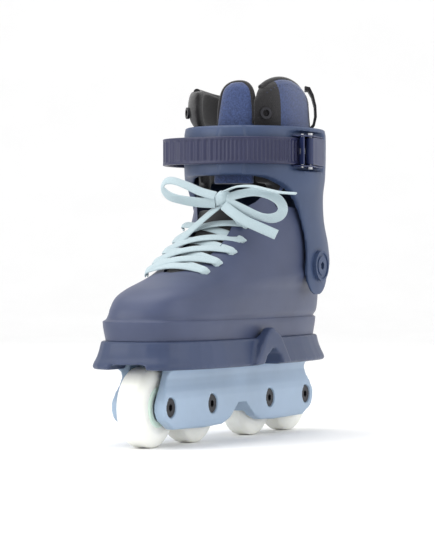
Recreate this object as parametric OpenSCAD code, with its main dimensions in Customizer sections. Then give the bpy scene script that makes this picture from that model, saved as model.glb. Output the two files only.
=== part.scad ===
// Inline skate for the left foot: moulded boot with a hinged cuff, a grinding sole
// plate and a four-wheel frame. +X is the outer side, -Y the toe, +Z up. The floor is z = 0.

/* [Wheels] */
// Diameter of a wheel
wheel_d = 60; // [58:0.5:61]
// Width of a tyre
wheel_w = 22; // [20:1:24]
// Distance between the two wheels of a pair
pair_pitch = 65.8; // [64:0.2:68]
// Distance between the two middle wheels
middle_pitch = 98.2; // [96:0.2:102]

/* [Frame] */
// Inside width between the side walls
channel_w = 28; // [27:0.5:29]
// Width over the side walls at the axles
frame_w = 44; // [43:1:46]
// Height of the mounting deck above the floor
deck_z = 66; // [65:0.5:68]
// Distance between the two mounting bolts
mount_pitch = 167; // [165:0.5:167]

/* [Sole plate] */
// Height of the sliding surface above the floor
sole_z = 58; // [57:0.5:60]
// Height of the sole plate's top
sole_top_z = 79; // [78:0.5:82]

/* [Boot] */
// Wall of the boot shell
shell_t = 4; // [3.5:0.5:4.5]
// Wall of the liner
liner_t = 6.5; // [5:0.5:7]
// Height of the cuff's pivot
pivot_z = 134.5; // [133:0.5:137]
// Distance of the cuff's pivot behind the middle of the frame
pivot_y = 76; // [75:1:78]

/* [Lacing] */
// Width of the flat lace
lace_w = 8; // [7:0.5:9]
// Thickness of the flat lace
lace_t = 1.6; // [1.4:0.1:2]

/* [Hidden] */
$fn = 64;
eps = 0.01;
navy = "#3d4a68";
dark = "#2b2b30";
sky = "#b4c6da";

wheel_r = wheel_d/2;
axle_z = wheel_r;
axle_ys = [-middle_pitch/2 - pair_pitch, -middle_pitch/2, middle_pitch/2, middle_pitch/2 + pair_pitch];
wheel_gap = 1.7;       // clear space round a wheel
run = 0.05;            // radial running clearance

// ---------- bearings, standard 608 size ----------
brg_od = 22;
brg_id = 8;
brg_w = 7;
brg_in = 5.1;          // inner face of a bearing, from the wheel's middle
ball_r = 1.95;
ball_pitch_r = 7.5;
ball_count = 7;
axle_r = 3.95;

// ---------- helpers ----------
function sgn(v) = v < 0 ? -1 : 1;
function mix(a, b, t) = a + (b - a)*t;
function arc(cx, cy, r, a0, a1, n) = [for (i = [0:n]) let (a = mix(a0, a1, i/n)) [cx + r*cos(a), cy + r*sin(a)]];

// One horizontal section: s = [z, toe y, heel y, outer half width, inner half width, squareness, taper, shift]
ring_n = 40;
function section(s, off) = [for (i = [0:ring_n - 1])
    let (t = 360*i/ring_n, e = 2/s[5], len = (s[2] - s[1])/2 - off, mid = (s[1] + s[2])/2,
         v = sgn(sin(t))*pow(abs(sin(t)), e), w = (cos(t) > 0 ? s[3] : s[4]) - off)
    [sgn(cos(t))*pow(abs(cos(t)), e)*w*(1 - s[6]*v) + s[7]*(1 - v)/2, mid + len*v, s[0]]];

module skin(rings) {
    n = len(rings[0]);
    m = len(rings);
    polyhedron(points = [for (r = rings) each r], faces = concat(
        [[for (i = [0:n - 1]) i]],
        [for (j = [0:m - 2]) for (i = [0:n - 1]) [j*n + i, (j + 1)*n + (i + 1)%n, j*n + (i + 1)%n]],
        [for (j = [0:m - 2]) for (i = [0:n - 1]) [j*n + i, (j + 1)*n + i, (j + 1)*n + (i + 1)%n]],
        [[for (i = [n - 1:-1:0]) (m - 1)*n + i]]), convexity = 8);
}
module loft(table, off = 0) skin([for (s = table) section(s, off)]);

// a prism with its outline in the plane of Y and Z, from x0 to x1
module side_prism(pts, x0, x1)
    translate([x0, 0, 0]) rotate([90, 0, 90]) linear_extrude(x1 - x0) polygon(pts);
// a prism with its outline in the plane of X and Y, from z0 to z1
module plan_prism(pts, z0, z1) translate([0, 0, z0]) linear_extrude(z1 - z0) polygon(pts);
module along_x(x0, x1, r, y, z) translate([x0, y, z]) rotate([0, 90, 0]) cylinder(h = x1 - x0, r = r);
module ring_x(x0, x1, r_out, r_in, y, z) difference() {
    along_x(x0, x1, r_out, y, z);
    along_x(x0 - 1, x1 + 1, r_in, y, z);
}
// turns a profile of [radius, x] about the axle at y, z
module spun(profile, y, z) translate([0, y, z]) rotate([0, 90, 0]) rotate_extrude() polygon(profile);

// sweeps an oval w wide and t thick along points; up sets the direction of the thickness
function unit(v) = v/norm(v);
function tangent(p, i) = unit(p[min(i + 1, len(p) - 1)] - p[max(i - 1, 0)]);
module ribbon(p, up, w = lace_w, t = lace_t, sides = 8)
    skin([for (i = [0:len(p) - 1])
        let (d = tangent(p, i), side = unit(cross(d, is_list(up[0]) ? up[i] : up)), n = cross(side, d))
        [for (k = [0:sides - 1]) let (a = 360*(k + 0.5)/sides) p[i] - side*(w/2*cos(a)) + n*(t/2*sin(a))/sin(67.5)]]);

// ---------- boot sections: height, toe, heel, outer, inner, squareness, taper, toe shift ----------
boot = [
    [79,    -135, 137, 38.5, 38,   3.3, 0.10, -2],
    [93,    -137, 139, 40.5, 40,   3.3, 0.10, -2],
    [94.5,  -134.5, 137, 39.5, 39, 3.2, 0.10, -2],
    [98,    -133.5, 140, 40.5, 40, 3.1, 0.07, -1],
    [103,   -132, 141, 41.5, 40.5, 3.0, 0.05, -1],
    [111,   -126, 140, 42.5, 41.5, 2.9, 0.02, 0],
    [117,   -115, 137, 43,   42,   2.7, -0.03, 1],
    [122,   -98,  135, 44.5, 43,   2.6, -0.08, 2],
    [127,   -82,  134, 45.3, 44.7, 2.5, -0.13, 3],
    [134,   -64,  132, 44, 43.5, 2.5, -0.10, 3.5],
    [143,   -45,  130, 44, 43.5, 2.5, -0.10, 3.5],
    [153,   -28,  128, 43.5, 43,   2.4, -0.09, 4],
    [165,   -14,  126, 43,   42,   2.2, -0.06, 3],
    [180,   -4,   123, 41.5, 40.5, 2.1, -0.03, 1],
    [204,   8,    120, 40,   39,   2.0, 0, 0]];
throat = [[-8, -73], [0, -76], [8, -73], [13, -66], [15.5, -50], [18, -30], [18, -14], [18, -3], [27, 12],
    [32, 24], [34, 42], [-32, 42], [-30, 24], [-25, 12], [-16, -3], [-16, -14], [-16, -30], [-14, -50], [-11, -66]];
shell_top = [[-90, 240], [-90, 215], [-14, 178], [-2, 184], [8, 193], [15, 196], [22, 194.5], [26, 187],
    [28.5, 180.5], [44, 181], [74, 178], [100, 168], [122, 156], [150, 152], [150, 240]];
eyelets = [[24, -66, 128.4], [26, -50, 135], [28, -30, 143.5], [28, -14, 152], [26, -3, 164]];

module throat_cut(off) translate([0, 0, 108]) linear_extrude(200) offset(delta = off) polygon(throat);
module boot_shell() color(navy) difference() {
    union() {
        difference() {
            loft(boot);
            difference() {
                loft(boot, shell_t);
                translate([-80, -200, 0]) cube([160, 400, sole_top_z + 5]);
            }
            throat_cut(0);
            side_prism(shell_top, -80, 80);
        }
        for (m = [0, 1]) mirror([m, 0, 0]) along_x(43, 47.6, 13, pivot_y, pivot_z);
    }
    // flat seats for the two nuts
    for (m = [0, 1]) mirror([m, 0, 0]) along_x(36, 42.4, 9.5, pivot_y, pivot_z);
    for (e = eyelets) for (m = [0, 1]) mirror([m, 0, 0])
        translate([e[0] - (m ? 2 : 0), e[1], e[2]]) rotate([25, 30, 0]) cylinder(h = 16, r = 2.6, center = true);
    for (s = [-1, 1]) translate([0, s*mount_pitch/2, deck_z]) cylinder(h = 30, r = 4.2);
    along_x(-80, 80, 4.2, pivot_y, pivot_z);
}

// ---------- cuff ----------
cuff_out = [
    [106, 14, 139, 50,   49.5, 2.2, 0, 0],
    [122, 8,  140, 52,   51.5, 2.2, 0, 0],
    [136, 6,  140, 52.5, 52,   2.2, 0, 0],
    [152, 4,  138, 51.8, 51.3, 2.2, 0, 0],
    [170, 2,  135, 50,   49.5, 2.1, 0, 0],
    [190, 0,  132, 50.5, 50,   2.1, 0, 0],
    [206, -2, 132, 53,   52,   2.1, 0, 0],
    [238, -2, 131, 54,   52,   2.1, 0, 0],
    [244, -1, 130, 53,   51,   2.1, 0, 0]];
cuff_in = [
    [100, 20, 138, 49.4, 48.6, 2.2, 0, 0],
    [122, 14, 139, 49.4, 48.6, 2.2, 0, 0],
    [152, 10, 137, 49,   48,   2.2, 0, 0],
    [170, 8,  133, 47,   46,   2.1, 0, 0],
    [206, 6,  125, 44.6, 44.6, 2.1, 0, 0],
    [250, 6,  124, 44.6, 44.6, 2.1, 0, 0]];
// what is left of the cuff from the side: ring, sloping front edge, pivot lobe and low back
lobe_r = 19;
cuff_side = concat([[-20, 250], [-20, 205], [8, 205], [16, 204], [26, 200], [37, 194], [46, 184], [53, 169],
    [57, 150]], arc(pivot_y, 129.5, lobe_r, 180, 345, 14), [[99, 128], [108, 136], [122, 141], [150, 144], [150, 250]]);
pocket_z0 = 209.5;
pocket_z1 = 240.5;
pocket = [[80, 16], [41, 16], [46, 28], [47.8, 38], [47.8, 81], [51, 85], [80, 88]];
pad = [[1, 231], [3, 206], [21, 206], [24, 231], [21, 243.5], [3, 243.5]];
bolt_y = 89;
rivet_ys = [62, 72];
module cuff() color(navy) difference() {
    union() {
        intersection() {
            difference() {
                union() {
                    loft(cuff_out);
                    // raised six-sided pad behind the strap
                    intersection() {
                        loft(cuff_out, -1.6);
                        translate([0, 30, 0]) rotate([90, 0, 0]) linear_extrude(60) polygon(pad);
                    }
                }
                loft(cuff_in);
            }
            side_prism(cuff_side, -80, 80);
        }
        // seat of the strap's end
        plan_prism([[-47, 74], [-53, 79], [-53, 99], [-44, 103], [-43, 103]], 210, 239);
    }
    plan_prism(pocket, pocket_z0, pocket_z1);
    // parting line where the outer front flap laps over the inner one
    translate([-13, -12, 190]) rotate([0, 0, 20]) cube([0.8, 12, 60]);
    along_x(-80, 80, 6 + run, pivot_y, pivot_z);
    along_x(45.5, 49.4, 13.8, pivot_y, pivot_z);
    along_x(-49.4, -45.5, 13.8, pivot_y, pivot_z);
    along_x(51.9, 80, 12.5, pivot_y, pivot_z);
    along_x(-80, -51.9, 12.5, pivot_y, pivot_z);
    along_x(-80, -30, 3.1, bolt_y, strap_mid_z);
    along_x(-48, -30, 7.2, bolt_y, strap_mid_z);
    for (y = rivet_ys) along_x(30, 60, 1.6, y, strap_mid_z);
}

module ring_pair(x0, x1, r_out, r_in) for (m = [0, 1]) mirror([m, 0, 0])
    ring_x(x0, x1, r_out, r_in, pivot_y, pivot_z);
module pivot_washers() color("silver") ring_pair(47.6, 49.35, 10, 4.2);
module cuff_bolts() color(navy) for (m = [0, 1]) mirror([m, 0, 0]) difference() {
    union() {
        along_x(39.5, 49.35, 3.9, pivot_y, pivot_z);
        along_x(49.35, 52.05, 6, pivot_y, pivot_z);
        along_x(52, 55, 12, pivot_y, pivot_z);
    }
    ring_x(54.2, 60, 10.4, 7.6, pivot_y, pivot_z);
    translate([52.5, pivot_y, pivot_z]) rotate([0, 90, 0]) cylinder(h = 5, r = 3.2, $fn = 6);
}
module pivot_nuts() color("silver") for (m = [0, 1]) mirror([m, 0, 0])
    ring_x(40.4, 42.4, 8.5, 3.9 + run, pivot_y, pivot_z);

// ---------- inside the boot ----------
inner_off = shell_t + 0.4;
liner_z = sole_top_z + 10.4;
part_r = 68;        // the liner's foot and collar part on this radius about the pivot
module above(z) translate([-90, -200, z]) cube([180, 400, 300]);
module shock_absorber() color("#44484f") difference() {
    intersection() {
        loft(boot, inner_off + 1);
        translate([-90, -130, sole_top_z + 5]) cube([180, 262, 5.3]);
    }
    for (s = [-1, 1]) translate([0, s*mount_pitch/2, deck_z]) cylinder(h = 60, r = 10);
}
// room for the two nuts of the cuff's bolts
module pivot_relief() for (m = [0, 1]) mirror([m, 0, 0]) along_x(38.8, 60, 10, pivot_y, pivot_z);
module liner_wall() difference() {
    intersection() {
        loft(boot, inner_off);
        above(liner_z);
    }
    intersection() {
        loft(boot, inner_off + liner_t);
        above(liner_z + 4);
    }
    // the collar's part
    difference() {
        translate([-90, 16, 60]) cube([180, 200, 200]);
        translate([-100, pivot_y, pivot_z]) rotate([0, 90, 0]) cylinder(h = 200, r = part_r);
        translate([-90, 0, 0]) cube([180, 200, pivot_z]);
    }
    above(178);
    pivot_relief();
}
module liner_foot() color(dark) difference() {
    liner_wall();
    throat_cut(-1);
}
module tongue_lower() color(dark) intersection() {
    liner_wall();
    throat_cut(-1.3);
    translate([-90, -200, 0]) cube([180, 214, 300]);
}
module footbed() color("#55585e") intersection() {
    loft(boot, inner_off + liner_t + 1);
    translate([-90, -124, liner_z + 4]) cube([180, 248, 3]);
}

// ---------- liner collar, rides on the cuff ----------
collar = [
    [150, 12, 121, 40,   39,   2.1, 0, 0],
    [180, 12, 120, 41,   40,   2.1, 0, 0],
    [206, 12, 119, 42.5, 42,   2.1, 0, 0],
    [241, 13, 117, 42,   43,   2.2, 0, 0],
    [250, 11, 115, 40.5, 47.5, 2.4, 0, 0],
    [264, 11, 113, 39.5, 49,   2.5, 0, 0],
    [276, 14, 111, 38,   46,   2.4, 0, 0],
    [285, 22, 107, 34,   40,   2.2, 0, 0]];
collar_t = 9;
// top line of the collar: outer and inner lobes are high, the back dips
outer_top = [[-20, 262], [17, 264], [24, 273], [36, 280], [52, 282.5], [68, 280], [88, 272], [104, 268],
    [130, 268], [130, 300], [-20, 300]];
inner_top = [[-20, 268], [14, 269], [22, 273], [60, 274], [100, 269], [130, 268], [130, 300], [-20, 300]];
collar_front = [[-24, -10], [-27, 34], [-27, 44], [22, 44], [22, 30], [23, -10]];
module liner_collar() color(dark) difference() {
    loft(collar);
    loft([for (s = collar) [s[0] + (s[0] < 160 ? -2 : s[0] > 280 ? 2 : 0), s[1] + collar_t, s[2] - collar_t,
        s[3] - collar_t, s[4] - collar_t, s[5], s[6], s[7]]]);
    translate([-100, pivot_y, pivot_z]) rotate([0, 90, 0]) cylinder(h = 200, r = part_r + 0.7);
    translate([-90, -60, 0]) cube([180, 94, 199]);
    side_prism(outer_top, 0, 80);
    side_prism(inner_top, -80, 0.01);
    plan_prism(collar_front, 100, 300);
}
tongue = [
    [199, 15, 29, 14, 20, 2.4, 0, 0],
    [245, 16, 29, 15, 17, 2.4, 0, 0],
    [262, 17, 30, 15, 15, 2.4, 0, 0],
    [274, 18, 30, 12, 12, 2.3, 0, 0],
    [279, 21, 29, 6,  6,  2.2, 0, 0]];
module tongue_upper() color(navy) translate([6, 0, 0]) loft(tongue);
// webbing loop on the outer rear of the collar
loop_at = [33.5, 90];
loop_out = concat([[-1, 279]], [[3, 278], [6, 272], [8.2, 263], [8.6, 254], [7, 247], [3, 241], [-1, 238]]);
module pull_loop() color(dark) translate([loop_at[0], loop_at[1], 0]) rotate([90, 0, 27.5])
    translate([0, 0, -8]) linear_extrude(16) difference() {
        polygon(loop_out);
        polygon([[-3, 275], [1.6, 275], [4.4, 270], [6.5, 262], [6.8, 255], [5.6, 249], [2, 244.5], [-3, 244]]);
    }
module liner_eyelets() color("silver") {
    translate([30.2, 23.4, 254]) rotate([90, 0, 42]) ring_z(2);
    translate([-39, 25.5, 256]) rotate([90, 0, -48]) ring_z(2);
}
module ring_z(h) difference() {
    cylinder(h = h, r = 4.6);
    translate([0, 0, -1]) cylinder(h = h + 2, r = 2.6);
}

// ---------- laces ----------
// a strand from a to b that arches over the instep
module strand(a, b, lift) {
    mid = (a + b)/2 + lift*[0, -0.55, 0.83];
    ribbon([for (i = [0:8]) let (t = i/8) a*(1 - t)*(1 - t) + 2*mid*t*(1 - t) + b*t*t], [0, -0.55, 0.83]);
}
module lace_laced() color("lightblue") {
    for (i = [0:3]) for (m = [-1, 1]) {
        a = eyelets[i];
        b = eyelets[i + 1];
        strand([-m*(a[0] + 0.5) - 1, a[1] - 1.2, a[2] + 2.4], [m*(b[0] + 0.5) - 1, b[1] - 1.2, b[2] + 2.4],
            10 + 3*m);
    }
    strand([-24, -67.2, 130.8], [23.5, -67.2, 130.8], 9);
}
knot = [11, -12, 186];
module lace_knot() color("lightblue") translate(knot) scale([7, 4.5, 7]) sphere(r = 1, $fn = 24);
loop_outer = [[18, -14, 187], [30, -16, 189], [42, -18, 190], [54, -19, 188], [64, -20, 183], [69, -20, 177],
    [66, -20, 172], [57, -21, 171], [45, -20, 174], [32, -18, 179], [18, -15, 184]];
loop_inner = [[5, -15, 189], [-6, -18, 193], [-17, -21, 198], [-26, -23, 201.5], [-31.5, -23, 200], [-34, -23, 195.2],
    [-31.5, -23, 190.5], [-26, -23, 188.2], [-18, -21, 187], [-6, -18, 185], [5, -15, 184]];
tail_upper = [[15, -16, 192], [28, -21, 195], [42, -24, 195], [56, -24, 192], [66, -23, 190], [78, -21, 189]];
tail_lower = [[15, -18, 181], [25, -22, 175], [36, -24, 169], [48, -24, 164], [62, -22, 158]];
module lace_loop_outer() color("lightblue") ribbon(loop_outer, [0, -1, 0.02], 5, 2);
module lace_loop_inner() color("lightblue") ribbon(loop_inner, [0, -1, 0.02], 4.4, 2);
module lace_tail_upper() color("lightblue") ribbon(tail_upper, [0, -0.2, 1], 6, 2);
module lace_tail_lower() color("lightblue") ribbon(tail_lower, [0, -1, 0.3]);

// ---------- sole plate ----------
sole = [
    [sole_z,       -143.5, 146, 46, 46, 3.4, 0.08, -2],
    [sole_z + 2,   -144.5, 147, 46.5, 46.5, 3.4, 0.08, -2],
    [sole_z + 4,   -144, 146, 46, 46, 3.4, 0.08, -2],
    [sole_z + 9,   -140, 142, 44.5, 44.5, 3.4, 0.08, -2],
    [sole_z + 14,  -138, 140, 43, 43, 3.4, 0.09, -2],
    [sole_top_z - 0.1, -137, 139, 41.5, 41, 3.4, 0.10, -2]];
groove_hw = 17;
groove_h = 13;
peak_z = 87;
groove = concat([[-groove_hw - 4, -10], [-groove_hw, 0], [-11, 8]], arc(0, 5.5, 7.5, 140, 40, 8),
    [[11, 8], [groove_hw, 0], [groove_hw + 4, -10]]);
module wedge() difference() {
    side_prism(concat([[-31, sole_z + 1]], [[-20, sole_z + 14], [-12, sole_z + 23]], arc(0, peak_z - 8, 8, 140, 40, 8),
        [[12, sole_z + 23], [20, sole_z + 14], [31, sole_z + 1]]), 41.2, 50);
    // the wedge leans back onto the boot
    translate([50.6, 0, peak_z - 16]) rotate([0, -6, 0]) translate([0, -50, -60]) cube([30, 100, 120]);
}
module sole_plate() color(navy) difference() {
    union() {
        loft(sole);
        for (m = [0, 1]) mirror([m, 0, 0]) wedge();
    }
    // the channel that takes the frame and the wheels
    translate([-25.3, -118, sole_z - 5]) cube([50.6, 236, deck_z - sole_z + 5]);
    translate([-15, -160, sole_z - 5]) cube([30, 320, 9]);
    // backslide groove across both sides
    translate([-60, 0, sole_z]) rotate([90, 0, 90]) linear_extrude(120) polygon(groove);
    for (s = [-1, 1]) translate([0, s*mount_pitch/2, 60]) cylinder(h = 40, r = 4.2);
    for (p = sole_screw_at) translate([p[0], p[1], 50]) {
        cylinder(h = 50, r = 2.1);
        cylinder(h = 14, r = 4.4);
    }
    // keep the boot's own space free
    translate([0, 0, 0.05]) loft(boot);
}
sole_screw_at = [[-32, -60], [32, -60], [-30, 80], [30, 80]];
module sole_screws() color("dimgray") for (p = sole_screw_at) translate([p[0], p[1], 0]) difference() {
    union() {
        translate([0, 0, 60.5]) cylinder(h = 3.4, r = 4.2);
        translate([0, 0, 63]) cylinder(h = 16, r = 2);
    }
    translate([0, 0, 60]) cylinder(h = 2.6, r = 1.8, $fn = 6);
}

// ---------- frame ----------
wall_in = channel_w/2;
wall_out = frame_w/2;
notch_top = 29;
frame_side = concat([[-112, deck_z], [-114, 60], [-118, 50]],
    arc(axle_ys[0], axle_z, 12.5, 155, 232, 10), [[-110, 13.5], [-60, 12.5], [-33, 13.5]],
    [[-22, 17], [-12, 24.5], [-6, notch_top], [6, notch_top], [12, 24.5], [22, 17]],
    [[33, 13.5], [60, 12.5], [110, 13.5]], arc(axle_ys[3], axle_z, 12.5, 308, 385, 10),
    [[118, 50], [114, 60], [112, deck_z]]);
// half of the frame's section: flange under the sole plate, hollow flank, full wall at the axles
frame_half = [[0, 12], [wall_out - 2, 12], [wall_out - 0.6, 14], [wall_out, 18], [wall_out, 36],
    [wall_out - 0.8, 41], [wall_out - 2.4, 46], [wall_out - 3, 51], [wall_out - 1.6, 55], [25, 58.5], [25, deck_z],
    [0, deck_z]];
seat_r = 7.4;
seat_x = 18.2;
module frame_solid() intersection() {
    side_prism(frame_side, -30, 30);
    for (m = [0, 1]) mirror([m, 0, 0]) translate([0, 140, 0]) rotate([90, 0, 0]) linear_extrude(280)
        polygon(frame_half);
}
module frame_channel() difference() {
    translate([-wall_in, -150, 0]) cube([channel_w, 300, axle_z + wheel_r + wheel_gap]);
    // cross bridges between the wheels of each pair, and the block between the middle wheels
    difference() {
        union() {
            translate([-wall_in - 1, -17.3, 0]) cube([channel_w + 2, 34.6, 80]);
            for (s = [-1, 1]) translate([-wall_in - 1, s*(axle_ys[3] + axle_ys[2])/2 - 17, 46]) cube([channel_w + 2, 34, 40]);
        }
        for (y = axle_ys) along_x(-40, 40, wheel_r + wheel_gap, y, axle_z);
    }
}
module frame() color(sky) difference() {
    union() {
        difference() {
            frame_solid();
            frame_channel();
        }
        for (y = axle_ys) for (m = [0, 1]) mirror([m, 0, 0]) along_x(12.2, wall_in + 0.5, 6.2, y, axle_z);
    }
    for (y = axle_ys) {
        along_x(-40, 40, axle_r + run, y, axle_z);
        along_x(seat_x, 40, seat_r, y, axle_z);
        along_x(-40, -seat_x, seat_r, y, axle_z);
    }
    for (s = [-1, 1]) translate([0, s*mount_pitch/2, 0]) {
        cylinder(h = 80, r = 4.2);
        cylinder(h = 58, r = 8);
    }
}
module hex_hole(x, af, depth) translate([x, 0, 0]) rotate([0, 90, 0]) cylinder(h = depth, r = af/2/cos(30), $fn = 6);
module axle_bolts() color("dimgray") for (y = axle_ys) translate([0, y, axle_z]) difference() {
    union() {
        along_x(-12.5, seat_x + 0.05, axle_r, 0, 0);
        along_x(seat_x + 0.05, 21, 6.8, 0, 0);
    }
    hex_hole(18.6, 5, 4);
}
// sleeve nut that takes the bolt's end on the inner side
module axle_sleeves() color("dimgray") for (y = axle_ys) translate([0, y, axle_z]) difference() {
    union() {
        along_x(-seat_x - 0.05, -12.55, axle_r, 0, 0);
        along_x(-21, -seat_x - 0.05, 6.8, 0, 0);
    }
    hex_hole(-22, 5, 3.4);
}
module frame_bolts() color("dimgray") for (s = [-1, 1]) translate([0, s*mount_pitch/2, 0]) difference() {
    union() {
        translate([0, 0, 53]) cylinder(h = 4.9, r = 7);
        translate([0, 0, 57]) cylinder(h = 28, r = 4);
    }
    translate([0, 0, 52]) cylinder(h = 4, r = 3.5, $fn = 6);
}
module frame_nuts() color("silver") for (s = [-1, 1]) translate([0, s*mount_pitch/2, 84.2]) difference() {
    cylinder(h = 4.6, r = 7.5/cos(30), $fn = 6);
    translate([0, 0, -1]) cylinder(h = 10, r = 4 + run);
}

// ---------- wheels ----------
side_r = 20;
core_r = 15;
half_w = wheel_w/2;
tread_hw = 5;
tyre_profile = concat([[core_r, -half_w + 0.6], [core_r, half_w - 0.6], [side_r, half_w]],
    [for (i = [0:10]) let (a = 9*i) [side_r + (wheel_r - side_r)*sin(a), tread_hw + (half_w - tread_hw)*cos(a)]],
    [for (i = [10:-1:0]) let (a = 9*i) [side_r + (wheel_r - side_r)*sin(a), -tread_hw - (half_w - tread_hw)*cos(a)]],
    [[side_r, -half_w]]);
module tyre(i) color("white") spun([for (k = [0:len(tyre_profile) - 1])
    if (k == 0 || norm(tyre_profile[k] - tyre_profile[k - 1]) > 0.001) tyre_profile[k]], axle_ys[i], axle_z);
hub_hw = 11.4;
hub_profile = [[brg_od/2, brg_in], [brg_od/2, hub_hw], [core_r - 0.7, hub_hw], [core_r - 0.03, hub_hw - 0.8],
    [core_r - 0.03, -hub_hw + 0.8], [core_r - 0.7, -hub_hw], [brg_od/2, -hub_hw], [brg_od/2, -brg_in],
    [9.4, -brg_in], [9.4, brg_in]];
module hub(i) color("palegreen") spun(hub_profile, axle_ys[i], axle_z);
module race_cut(y) translate([0, y, axle_z]) for (s = [-1, 1]) translate([s*(brg_in + brg_w/2), 0, 0])
    rotate([0, 90, 0]) rotate_extrude() translate([ball_pitch_r, 0]) circle(r = ball_r + run);
module bearings(i) color("silver") difference() {
    for (s = [0, 1]) translate([0, axle_ys[i], axle_z]) mirror([s, 0, 0]) {
        ring_x(brg_in + 0.02, brg_in + brg_w, brg_od/2 - 0.02, 9.15, 0, 0);
        ring_x(brg_in + brg_w - 0.5, brg_in + brg_w - 0.1, 9.3, 6.3, 0, 0);
    }
    race_cut(axle_ys[i]);
}
module balls(i) color("gainsboro") for (s = [-1, 1]) for (k = [0:ball_count - 1]) translate([0, axle_ys[i], axle_z])
    rotate([360*k/ball_count, 0, 0]) translate([s*(brg_in + brg_w/2), ball_pitch_r, 0]) sphere(r = ball_r, $fn = 24);
module bearing_inner_rings() color("silver") for (y = axle_ys) difference() {
    for (s = [0, 1]) mirror([s, 0, 0]) ring_x(brg_in + 0.02, brg_in + brg_w, 5.9, 4, y, axle_z);
    race_cut(y);
}
module bearing_spacers() color("silver") for (y = axle_ys) ring_x(-brg_in, brg_in, 5.6, 4, y, axle_z);

// ---------- strap and buckle ----------
strap_z0 = 213.8;
strap_h = 21.2;
strap_mid_z = strap_z0 + strap_h/2;
strap_t = 2.5;
tooth_h = 1.1;
tooth_from = 24;        // first tooth's place along the strap's points
// middle of the strap from its screwed end round the front to its free end in the buckle
strap_path = [[-54.3, 100], [-54.3, 88], [-55.5, 76], [-58, 62], [-59.8, 48], [-59.6, 34], [-57, 21], [-50, 9],
    [-38, 0.5], [-24, -3.5], [-12, -5], [0, -5.4], [7, -5], [13, -3.9], [19, -2], [24.7, 0.6], [30, 3.8],
    [35, 7.8], [39.5, 12.2], [43.4, 17.2], [46.4, 23], [48.5, 30], [49.9, 38], [50.4, 47], [50.4, 57], [50.4, 76]];
function spline(p, i, t) = let (a = p[max(i - 1, 0)], b = p[i], c = p[i + 1], d = p[min(i + 2, len(p) - 1)])
    (2*b + (c - a)*t + (2*a - 5*b + 4*c - d)*t*t + (3*b - a - 3*c + d)*t*t*t)/2;
function curve(p, n) = concat([for (i = [0:len(p) - 2]) for (k = [0:n - 1]) spline(p, i, k/n)], [p[len(p) - 1]]);
strap_mid = curve(strap_path, 4);
function left_of(p, i, d) = let (t = tangent(p, i)) p[i] + d*[t[1], -t[0]];
strap_n = len(strap_mid) - 1;
strap_inner = [for (i = [strap_n:-1:0]) left_of(strap_mid, i, -strap_t/2)];
module ladder_strap() color("#38415f") difference() {
    union() {
        translate([0, 0, strap_z0 + 2]) linear_extrude(strap_h - 4) polygon(concat(
            [for (i = [0:tooth_from]) left_of(strap_mid, i, strap_t/2)],
            [for (i = [tooth_from + 1:strap_n - 4]) left_of(strap_mid, i, strap_t/2 + (i%2)*tooth_h)],
            [for (i = [strap_n - 3:strap_n]) left_of(strap_mid, i, strap_t/2)], strap_inner));
        for (z = [strap_z0, strap_z0 + strap_h - 2]) translate([0, 0, z]) linear_extrude(2) polygon(concat(
            [for (i = [0:strap_n - 4]) left_of(strap_mid, i, strap_t/2 + (i > 14 ? tooth_h : 0))],
            [for (i = [strap_n - 3:strap_n]) left_of(strap_mid, i, strap_t/2)], strap_inner));
    }
    along_x(-90, -40, 3.1, bolt_y, strap_mid_z);
}
module strap_bolt() color("dimgray") difference() {
    union() {
        translate([-57.9, bolt_y, strap_mid_z]) rotate([0, 90, 0]) cylinder(h = 2.25, r1 = 5, r2 = 6.5);
        along_x(-55.56, -47.9, 3, bolt_y, strap_mid_z);
    }
    translate([-58.5, bolt_y, strap_mid_z]) rotate([0, 90, 0]) cylinder(h = 2.6, r = 2.3, $fn = 6);
}
module strap_nut() color("silver") ring_x(-47.95, -46.2, 6.8, 3 + run, bolt_y, strap_mid_z);

floor_x = 47.8;
pin_at = [56.5, 48.9];
pawl_at = [55, 38];
cheek = [[floor_x, 34], [54, 34], [57, 36.5], [57.6, 41], [60, 46], [60.3, 50], [58, 56], [56, 66], [54.6, 78],
    [floor_x, 80]];
module buckle_base() color("#222226") difference() {
    union() {
        plan_prism([[floor_x, 43], [floor_x + 1.2, 43], [floor_x + 1.2, 80], [floor_x, 80]], 212.2, 237);
        plan_prism(cheek, 212.2, 213.5);
        plan_prism(cheek, 235.8, 237);
    }
    translate([pin_at[0], pin_at[1], 200]) cylinder(h = 50, r = 1.6);
    translate([pawl_at[0], pawl_at[1], 200]) cylinder(h = 50, r = 1.1);
    for (y = rivet_ys) along_x(40, 60, 1.6, y, strap_mid_z);
}
module buckle_rivets() color("silver") for (y = rivet_ys) along_x(44.7, floor_x + 1.2, 1.6, y, strap_mid_z);
module lever_pin() color("silver") translate([pin_at[0], pin_at[1], 0]) {
    translate([0, 0, 211.4]) cylinder(h = 26.4, r = 1.6);
    for (z = [210.4, 237]) translate([0, 0, z]) cylinder(h = 1.8, r = 2.2);
}
module pawl_pin() color("silver") translate([pawl_at[0], pawl_at[1], 211.4]) cylinder(h = 26.4, r = 1.1);
module pawl_spring() color("silver") translate([pawl_at[0], pawl_at[1], 0]) {
    for (k = [0:3]) translate([0, 0, 222.6 + k*1.1]) rotate_extrude() translate([1.75, 0]) circle(r = 0.56);
}
pawl = [[53.6, 36.4], [56, 34.8], [58.2, 33.6], [58.8, 34.6], [56.8, 37.6], [55.6, 39.6], [53.9, 41.6],
    [53, 42.6], [52.95, 41.4]];
module holding_pawl() color("#1f2024") difference() {
    plan_prism(pawl, 213.9, 235.4);
    translate([pawl_at[0], pawl_at[1], 200]) cylinder(h = 50, r = 1.1 + run);
    translate([pawl_at[0], pawl_at[1], 221.8]) cylinder(h = 5, r = 2.6);
}
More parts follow.
